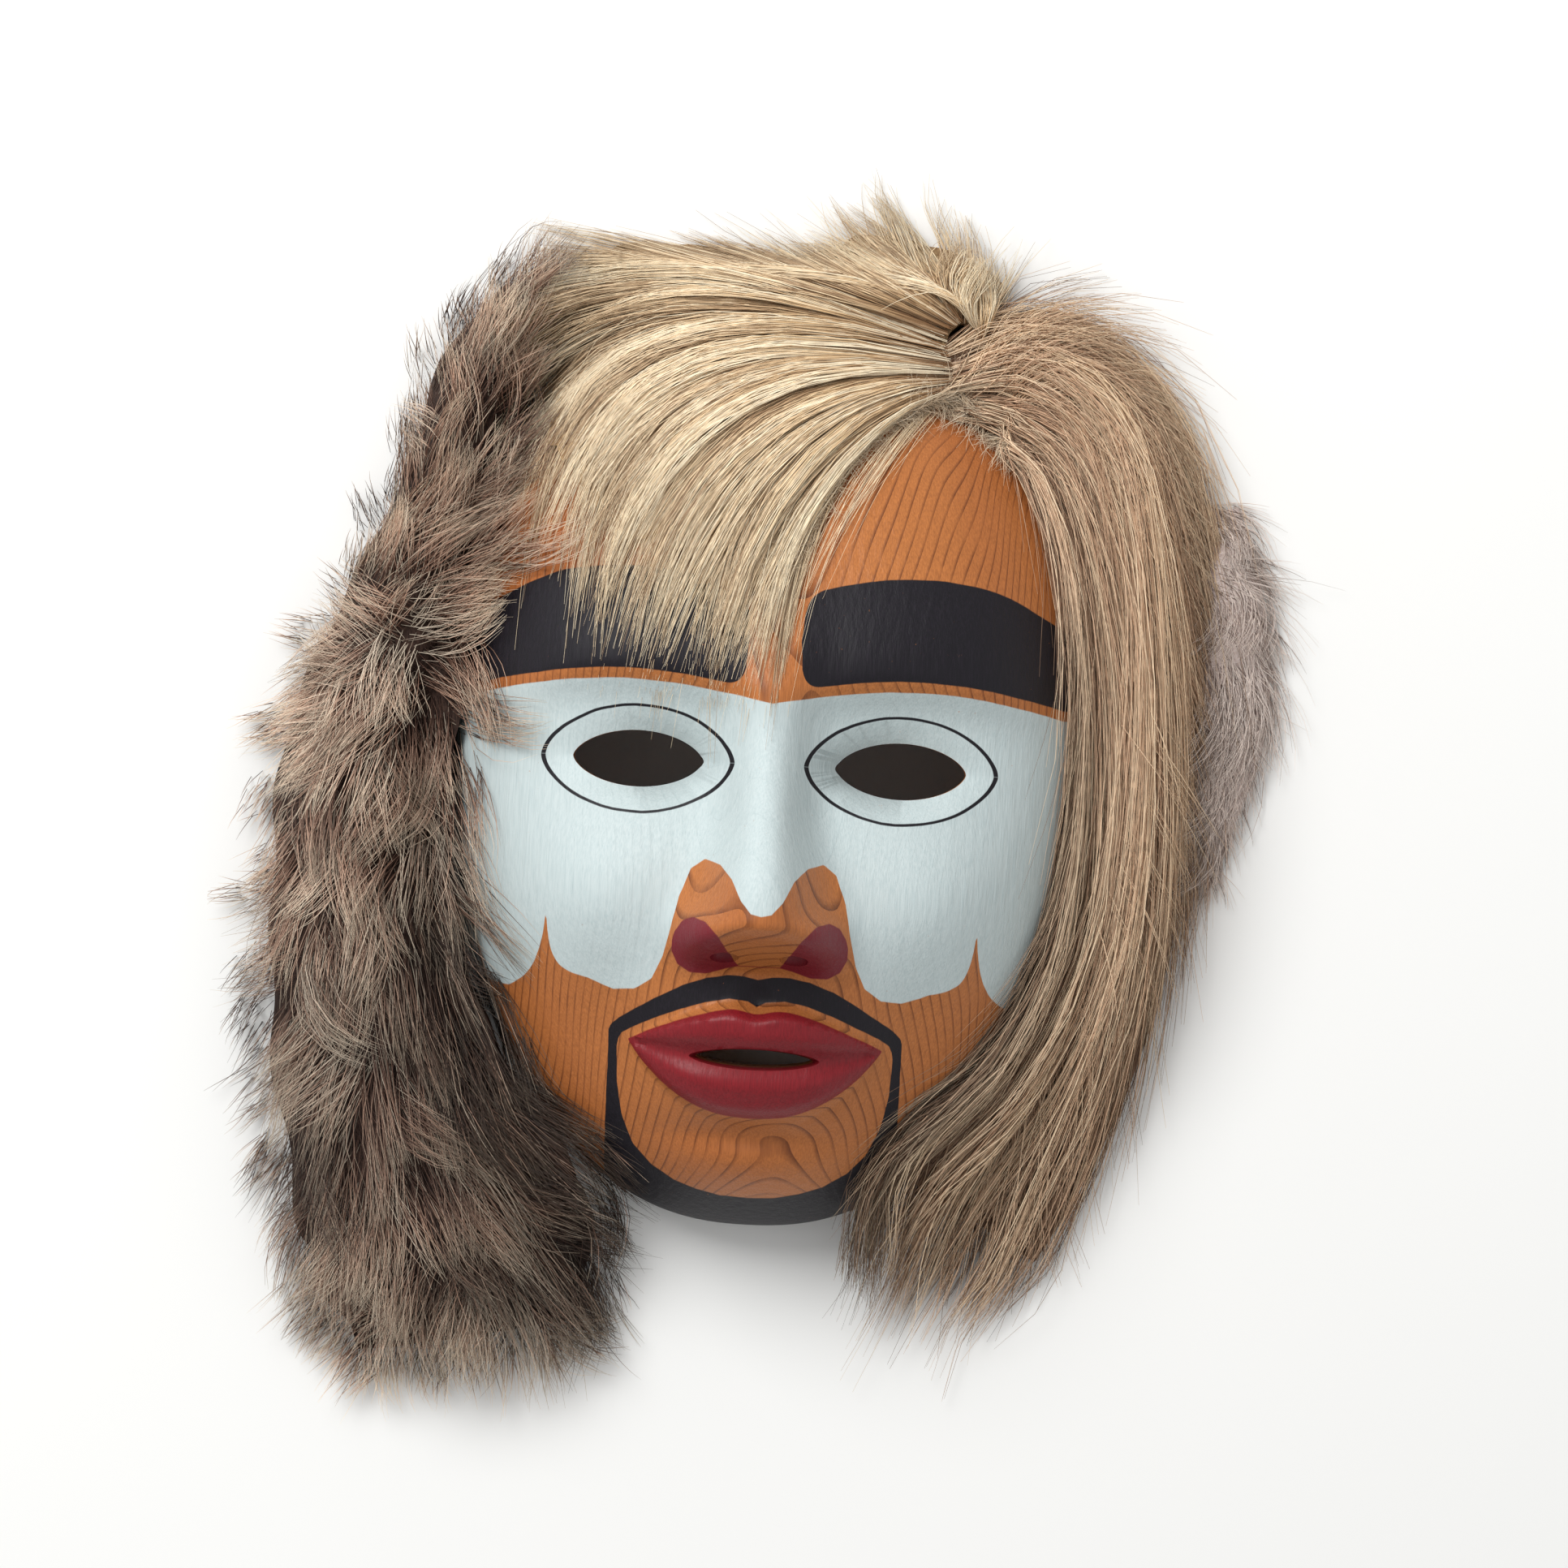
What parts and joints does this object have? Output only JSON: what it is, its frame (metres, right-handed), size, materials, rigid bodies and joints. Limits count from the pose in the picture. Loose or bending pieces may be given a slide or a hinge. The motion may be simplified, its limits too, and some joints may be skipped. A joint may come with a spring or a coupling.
{
  "type": "painted carved mask",
  "caption": "Hollow carved cedar face mask, painted in broad areas, with pierced eyes and mouth and hides of long and shaggy hair along its edge; lies on its back.",
  "frame": {"origin": "centre of the whole part's box in plan, at the plane that the back rim and the hides lie on", "axes": "+Z out of the face, away from the surface that the mask lies on; +Y towards the crown; +X towards the viewer's right"},
  "size_m": [0.316, 0.3672, 0.1125],
  "materials": {
    "cedar": "oiled cedar, painted in matt mint white, charcoal black, crimson and maroon",
    "long_hair": "long straight pale blonde to tan hair on hide",
    "shaggy_fur": "shaggy grey-brown fur in tufts, dark at the roots",
    "pale_fur": "thin pale underfur with dark wisps"
  },
  "bodies": {
    "root": {"carved_mask": "cedar", "long_hair_pelt": "long_hair", "shaggy_pelt_left": "shaggy_fur", "shaggy_tuft_right": "pale_fur"}
  },
  "joints": []
}
